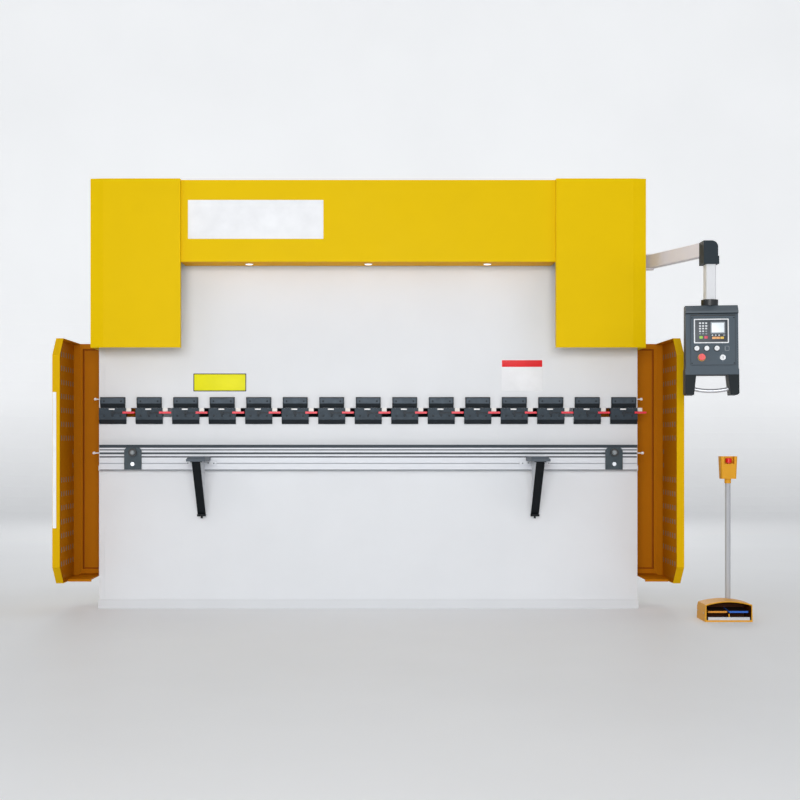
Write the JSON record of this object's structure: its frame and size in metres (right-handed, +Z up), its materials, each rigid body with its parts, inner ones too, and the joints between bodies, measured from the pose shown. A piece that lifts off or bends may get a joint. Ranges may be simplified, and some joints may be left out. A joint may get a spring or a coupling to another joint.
{
  "type": "press brake",
  "caption": "Hydraulic press brake with sliding ram, punch clamps, bed, side guards, front supports, back gauge, control pendant and foot switch.",
  "frame": {"origin": "on the floor at the middle of the bed's length, in the bending plane", "axes": "+X along the bed to the operator's right, +Y from the operator to the back gauge, +Z up"},
  "size_m": [3.899, 1.859, 2.501],
  "materials": {
    "white_paint": "semi-gloss powder coat",
    "yellow_paint": "semi-gloss powder coat",
    "dark_paint": "satin",
    "dark_steel": "blackened",
    "bright_steel": "ground",
    "rail_aluminium": "anodised",
    "lamp": "lit lens",
    "grip_red": "dipped",
    "pendant_grey": "satin",
    "arm_tube": "satin",
    "button_white": "moulded",
    "stop_red": "moulded",
    "pedal_yellow": "moulded",
    "treadle_orange": "moulded",
    "treadle_blue": "moulded",
    "knob_black": "moulded",
    "motor_grey": "satin"
  },
  "bodies": {
    "frame": {"side_frame_left": "white_paint", "side_frame_right": "white_paint", "bed_plate": "white_paint", "base_feet": "white_paint", "oil_tank": "white_paint", "cylinder_barrels": "dark_paint", "side_cover_left": "yellow_paint", "side_cover_right": "yellow_paint", "top_cover": "yellow_paint", "work_lights": "lamp", "support_rail": "rail_aluminium", "guard_frames": "yellow_paint", "pump_motor": "motor_grey", "electrical_cabinet": "white_paint", "gauge_guides": "bright_steel", "pendant_bracket": "arm_tube", "pedal_stand": "pedal_yellow"},
    "ram": {"ram_plate": "white_paint", "clamp_holders": "dark_steel", "clamp_jaws": "dark_steel", "piston_rods": "bright_steel"},
    "clamp_lever_01": {"clamp_lever_01": "grip_red"},
    "clamp_lever_02": {"clamp_lever_02": "grip_red"},
    "clamp_lever_03": {"clamp_lever_03": "grip_red"},
    "clamp_lever_04": {"clamp_lever_04": "grip_red"},
    "clamp_lever_05": {"clamp_lever_05": "grip_red"},
    "clamp_lever_06": {"clamp_lever_06": "grip_red"},
    "clamp_lever_07": {"clamp_lever_07": "grip_red"},
    "clamp_lever_08": {"clamp_lever_08": "grip_red"},
    "clamp_lever_09": {"clamp_lever_09": "grip_red"},
    "clamp_lever_10": {"clamp_lever_10": "grip_red"},
    "clamp_lever_11": {"clamp_lever_11": "grip_red"},
    "clamp_lever_12": {"clamp_lever_12": "grip_red"},
    "clamp_lever_13": {"clamp_lever_13": "grip_red"},
    "clamp_lever_14": {"clamp_lever_14": "grip_red"},
    "clamp_lever_15": {"clamp_lever_15": "grip_red"},
    "guard_door_left": {"guard_door_left": "yellow_paint"},
    "guard_door_right": {"guard_door_right": "yellow_paint"},
    "support_arm_left": {"support_arm_left": "dark_paint"},
    "support_arm_right": {"support_arm_right": "dark_paint"},
    "rail_carriage_left": {"rail_carriage_left": "dark_steel"},
    "rail_carriage_right": {"rail_carriage_right": "dark_steel"},
    "carriage_knob_left": {"carriage_knob_left": "knob_black"},
    "carriage_knob_right": {"carriage_knob_right": "knob_black"},
    "pendant_arm": {"pendant_arm": "arm_tube"},
    "pendant_box": {"pendant_box": "pendant_grey"},
    "pendant_button_a": {"pendant_button_a": "button_white"},
    "pendant_button_b": {"pendant_button_b": "button_white"},
    "pendant_button_c": {"pendant_button_c": "button_white"},
    "pendant_estop": {"pendant_estop": "stop_red"},
    "pendant_key": {"pendant_key": "bright_steel"},
    "treadle_left": {"treadle_left": "treadle_orange"},
    "treadle_right": {"treadle_right": "treadle_blue"},
    "pedal_estop": {"pedal_estop": "stop_red"},
    "gauge_beam": {"gauge_beam": "rail_aluminium"},
    "gauge_finger_left": {"gauge_finger_left": "bright_steel"},
    "gauge_finger_right": {"gauge_finger_right": "bright_steel"},
    "torsion_shaft": {"torsion_shaft": "dark_paint"},
    "sync_rod_left": {"sync_rod_left": "dark_paint"},
    "sync_rod_right": {"sync_rod_right": "dark_paint"}
  },
  "joints": [
    {"name": "ram_stroke", "type": "slide", "parent": "frame", "child": "ram", "axis": [0, 0, 1], "range_m": [0, 0.12]},
    {"name": "clamp_lever_01_turn", "type": "hinge", "parent": "ram", "child": "clamp_lever_01", "pos_m": [-1.512, -0.055, 1.159], "axis": [0, -1, 0], "range_deg": [0, 70]},
    {"name": "clamp_lever_02_turn", "type": "hinge", "parent": "ram", "child": "clamp_lever_02", "pos_m": [-1.296, -0.055, 1.159], "axis": [0, -1, 0], "range_deg": [0, 70]},
    {"name": "clamp_lever_03_turn", "type": "hinge", "parent": "ram", "child": "clamp_lever_03", "pos_m": [-1.08, -0.055, 1.159], "axis": [0, -1, 0], "range_deg": [0, 70]},
    {"name": "clamp_lever_04_turn", "type": "hinge", "parent": "ram", "child": "clamp_lever_04", "pos_m": [-0.864, -0.055, 1.159], "axis": [0, -1, 0], "range_deg": [0, 70]},
    {"name": "clamp_lever_05_turn", "type": "hinge", "parent": "ram", "child": "clamp_lever_05", "pos_m": [-0.648, -0.055, 1.159], "axis": [0, -1, 0], "range_deg": [0, 70]},
    {"name": "clamp_lever_06_turn", "type": "hinge", "parent": "ram", "child": "clamp_lever_06", "pos_m": [-0.432, -0.055, 1.159], "axis": [0, -1, 0], "range_deg": [0, 70]},
    {"name": "clamp_lever_07_turn", "type": "hinge", "parent": "ram", "child": "clamp_lever_07", "pos_m": [-0.216, -0.055, 1.159], "axis": [0, -1, 0], "range_deg": [0, 70]},
    {"name": "clamp_lever_08_turn", "type": "hinge", "parent": "ram", "child": "clamp_lever_08", "pos_m": [0, -0.055, 1.159], "axis": [0, -1, 0], "range_deg": [0, 70]},
    {"name": "clamp_lever_09_turn", "type": "hinge", "parent": "ram", "child": "clamp_lever_09", "pos_m": [0.216, -0.055, 1.159], "axis": [0, -1, 0], "range_deg": [0, 70]},
    {"name": "clamp_lever_10_turn", "type": "hinge", "parent": "ram", "child": "clamp_lever_10", "pos_m": [0.432, -0.055, 1.159], "axis": [0, -1, 0], "range_deg": [0, 70]},
    {"name": "clamp_lever_11_turn", "type": "hinge", "parent": "ram", "child": "clamp_lever_11", "pos_m": [0.648, -0.055, 1.159], "axis": [0, -1, 0], "range_deg": [0, 70]},
    {"name": "clamp_lever_12_turn", "type": "hinge", "parent": "ram", "child": "clamp_lever_12", "pos_m": [0.864, -0.055, 1.159], "axis": [0, -1, 0], "range_deg": [0, 70]},
    {"name": "clamp_lever_13_turn", "type": "hinge", "parent": "ram", "child": "clamp_lever_13", "pos_m": [1.08, -0.055, 1.159], "axis": [0, -1, 0], "range_deg": [0, 70]},
    {"name": "clamp_lever_14_turn", "type": "hinge", "parent": "ram", "child": "clamp_lever_14", "pos_m": [1.296, -0.055, 1.159], "axis": [0, -1, 0], "range_deg": [0, 70]},
    {"name": "clamp_lever_15_turn", "type": "hinge", "parent": "ram", "child": "clamp_lever_15", "pos_m": [1.512, -0.055, 1.159], "axis": [0, -1, 0], "range_deg": [0, 70]},
    {"name": "guard_door_left_swing", "type": "hinge", "parent": "frame", "child": "guard_door_left", "pos_m": [-1.786, 0.119, 0.875], "axis": [0, 0, -1], "range_deg": [0, 95]},
    {"name": "guard_door_right_swing", "type": "hinge", "parent": "frame", "child": "guard_door_right", "pos_m": [1.786, 0.119, 0.875], "axis": [0, 0, 1], "range_deg": [0, 95]},
    {"name": "support_arm_left_slide", "type": "slide", "parent": "frame", "child": "support_arm_left", "axis": [1, 0, 0], "range_m": [-0.13, 0.85]},
    {"name": "support_arm_right_slide", "type": "slide", "parent": "frame", "child": "support_arm_right", "axis": [1, 0, 0], "range_m": [-0.85, 0.16]},
    {"name": "rail_carriage_left_slide", "type": "slide", "parent": "frame", "child": "rail_carriage_left", "axis": [1, 0, 0], "range_m": [-0.148, 0.12]},
    {"name": "rail_carriage_right_slide", "type": "slide", "parent": "frame", "child": "rail_carriage_right", "axis": [1, 0, 0], "range_m": [-0.15, 0.087]},
    {"name": "carriage_knob_left_turn", "type": "hinge", "parent": "rail_carriage_left", "child": "carriage_knob_left", "pos_m": [-1.385, -0.1, 0.9236], "axis": [0, -1, 0], "range_deg": [0, 360]},
    {"name": "carriage_knob_right_turn", "type": "hinge", "parent": "rail_carriage_right", "child": "carriage_knob_right", "pos_m": [1.446, -0.1, 0.9236], "axis": [0, -1, 0], "range_deg": [0, 360]},
    {"name": "pendant_arm_swing", "type": "hinge", "parent": "frame", "child": "pendant_arm", "pos_m": [1.66, -0.06, 2.046], "axis": [0, 0, 1], "range_deg": [-25, 45]},
    {"name": "pendant_swivel", "type": "hinge", "parent": "pendant_arm", "child": "pendant_box", "pos_m": [1.871, -0.63, 1.75], "axis": [0, 0, 1], "range_deg": [-60, 60]},
    {"name": "pendant_button_a_press", "type": "slide", "parent": "pendant_box", "child": "pendant_button_a", "axis": [0.1491, 0.9857, -0.0785], "range_m": [0, 0.004], "stiffness_N_per_m": 600, "springref_m": -0.002},
    {"name": "pendant_button_b_press", "type": "slide", "parent": "pendant_box", "child": "pendant_button_b", "axis": [0.1491, 0.9857, -0.0785], "range_m": [0, 0.004], "stiffness_N_per_m": 600, "springref_m": -0.002},
    {"name": "pendant_button_c_press", "type": "slide", "parent": "pendant_box", "child": "pendant_button_c", "axis": [0.1491, 0.9857, -0.0785], "range_m": [0, 0.004], "stiffness_N_per_m": 600, "springref_m": -0.002},
    {"name": "pendant_estop_press", "type": "slide", "parent": "pendant_box", "child": "pendant_estop", "axis": [0.1491, 0.9857, -0.0785], "range_m": [0, 0.006], "stiffness_N_per_m": 1200, "springref_m": -0.003},
    {"name": "pendant_key_turn", "type": "hinge", "parent": "pendant_box", "child": "pendant_key", "pos_m": [1.92026, -0.71892, 1.44453], "axis": [0.1491, 0.9857, -0.0785], "range_deg": [-45, 45]},
    {"name": "treadle_left_press", "type": "hinge", "parent": "frame", "child": "treadle_left", "pos_m": [1.918, -0.499, 0.056], "axis": [1, 0, 0], "range_deg": [0, 12], "stiffness_Nm_per_rad": 12, "springref_deg": -6.88},
    {"name": "treadle_right_press", "type": "hinge", "parent": "frame", "child": "treadle_right", "pos_m": [2.034, -0.499, 0.056], "axis": [1, 0, 0], "range_deg": [0, 12], "stiffness_Nm_per_rad": 12, "springref_deg": -6.88},
    {"name": "pedal_estop_press", "type": "slide", "parent": "frame", "child": "pedal_estop", "axis": [0, 0, -1], "range_m": [0, 0.006], "stiffness_N_per_m": 1200, "springref_m": -0.003},
    {"name": "gauge_beam_travel", "type": "slide", "parent": "frame", "child": "gauge_beam", "axis": [0, 1, 0], "range_m": [0, 0.55]},
    {"name": "gauge_finger_left_slide", "type": "slide", "parent": "gauge_beam", "child": "gauge_finger_left", "axis": [1, 0, 0], "range_m": [-0.5, 0.5]},
    {"name": "gauge_finger_right_slide", "type": "slide", "parent": "gauge_beam", "child": "gauge_finger_right", "axis": [1, 0, 0], "range_m": [-0.5, 0.5]},
    {"name": "torsion_turn", "type": "hinge", "parent": "frame", "child": "torsion_shaft", "pos_m": [0, 0.36, 1.7], "axis": [-1, 0, 0], "range_deg": [0, 27.97]},
    {"name": "sync_rod_left_turn", "type": "hinge", "parent": "torsion_shaft", "child": "sync_rod_left", "pos_m": [-1.229, 0.11731, 1.64], "axis": [1, 0, 0], "range_deg": [0, 27.97]},
    {"name": "sync_rod_right_turn", "type": "hinge", "parent": "torsion_shaft", "child": "sync_rod_right", "pos_m": [1.229, 0.11731, 1.64], "axis": [1, 0, 0], "range_deg": [0, 27.97]}
  ],
  "couplings": [
    {"joint": "torsion_turn", "follows": "ram_stroke", "rad_per_m": 4.0394},
    {"joint": "sync_rod_left_turn", "follows": "ram_stroke", "rad_per_m": 4.0394},
    {"joint": "sync_rod_right_turn", "follows": "ram_stroke", "rad_per_m": 4.0394}
  ]
}
